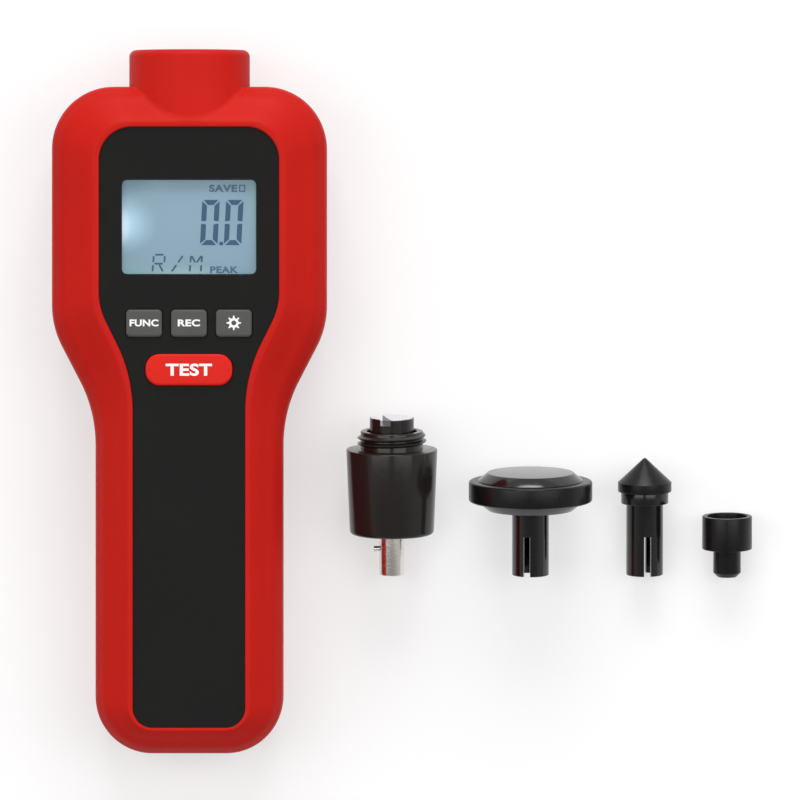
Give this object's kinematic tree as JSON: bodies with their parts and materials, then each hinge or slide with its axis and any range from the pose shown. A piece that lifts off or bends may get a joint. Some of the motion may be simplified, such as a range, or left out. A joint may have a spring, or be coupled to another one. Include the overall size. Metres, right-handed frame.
{
  "type": "laser tachometer",
  "caption": "Hand-held laser tachometer in a red soft case with display and keys, with a screw-on contact adapter, speed wheel, cone tip in its holder and cup tip beside it.",
  "frame": {"origin": "middle of the meter's back face, on the plane that it lies on", "axes": "+Z out of the display, +Y along the meter towards its nose, +X towards the accessories"},
  "size_m": [0.1802, 0.1807, 0.0385],
  "materials": {
    "black_casing": "fine satin texture",
    "red_jacket": "soft satin",
    "clear_window": "gloss",
    "display_cell": "gloss",
    "white_plastic": "satin",
    "grey_key": "satin",
    "red_key": "satin",
    "grey_rubber": "matte",
    "black_rubber": "matte",
    "circuit_board": "solder mask",
    "black_parts": "matte",
    "zinc_screws": "zinc",
    "black_plastic": "satin",
    "black_housing": "black anodised",
    "red_filter": "gloss",
    "lens_glass": "gloss",
    "brass": "turned",
    "battery_sleeve": "plain sleeve",
    "spring_steel": "nickel",
    "ground_steel": "ground and polished",
    "bearing_steel": "ground",
    "reflector": "bright"
  },
  "bodies": {
    "instrument": {"front_shell": "black_casing", "front_jacket": "red_jacket", "rear_shell": "black_casing", "rear_jacket": "red_jacket", "case_screws": "zinc_screws", "display_window": "clear_window", "lcd_glass": "display_cell", "lcd_frame": "white_plastic", "backlight_guide": "white_plastic", "zebra_strip": "black_rubber", "key_mat": "grey_rubber", "main_board": "circuit_board", "board_parts": "black_parts", "board_screws": "zinc_screws", "sensor_board": "circuit_board", "board_header": "black_parts", "nose_socket": "black_plastic", "nose_window": "red_filter", "optics_block": "black_parts", "laser_module": "brass", "laser_lens": "lens_glass", "receiver_lens": "lens_glass", "photodiode": "black_parts", "battery_1": "battery_sleeve", "battery_2": "battery_sleeve", "battery_3": "battery_sleeve", "battery_springs": "spring_steel", "battery_contacts": "spring_steel", "adapter_housing": "black_housing", "bearing_outer_rings": "bearing_steel", "outer_spacer": "brass", "retaining_ring": "spring_steel", "wheel_hub": "black_plastic", "wheel_tyre": "black_rubber", "tip_holder": "black_plastic", "cone_tip": "black_rubber", "cup_tip": "black_rubber"},
    "mode_key": {"mode_key": "grey_key"},
    "memory_key": {"memory_key": "grey_key"},
    "light_key": {"light_key": "grey_key"},
    "measure_key": {"measure_key": "red_key"},
    "battery_cover": {"battery_cover": "black_casing"},
    "spindle": {"adapter_spindle": "ground_steel", "cross_pin": "ground_steel", "rotor": "black_plastic", "rotor_reflectors": "reflector", "bearing_inner_rings": "bearing_steel", "inner_spacer": "brass"},
    "ball_sets": {"bearing_balls": "bearing_steel"}
  },
  "joints": [
    {"name": "mode_key_press", "type": "slide", "parent": "instrument", "child": "mode_key", "axis": [0, 0, -1], "range_m": [0, 0.001], "stiffness_N_per_m": 1000, "springref_m": -0.0005},
    {"name": "memory_key_press", "type": "slide", "parent": "instrument", "child": "memory_key", "axis": [0, 0, -1], "range_m": [0, 0.001], "stiffness_N_per_m": 1000, "springref_m": -0.0005},
    {"name": "light_key_press", "type": "slide", "parent": "instrument", "child": "light_key", "axis": [0, 0, -1], "range_m": [0, 0.001], "stiffness_N_per_m": 1000, "springref_m": -0.0005},
    {"name": "measure_key_press", "type": "slide", "parent": "instrument", "child": "measure_key", "axis": [0, 0, -1], "range_m": [0, 0.001], "stiffness_N_per_m": 1000, "springref_m": -0.0005},
    {"name": "cover_slide", "type": "slide", "parent": "instrument", "child": "battery_cover", "axis": [0, -1, 0], "range_m": [0, 0.066]},
    {"name": "spindle_spin", "type": "hinge", "parent": "instrument", "child": "spindle", "pos_m": [0.052, -0.0399, 0.00915], "axis": [0, 0.9903, 0.1392], "continuous": true},
    {"name": "balls_orbit", "type": "hinge", "parent": "instrument", "child": "ball_sets", "pos_m": [0.052, -0.0399, 0.00915], "axis": [0, 0.9903, 0.1392], "continuous": true}
  ],
  "couplings": [
    {"joint": "balls_orbit", "follows": "spindle_spin", "ratio": 0.3947}
  ]
}
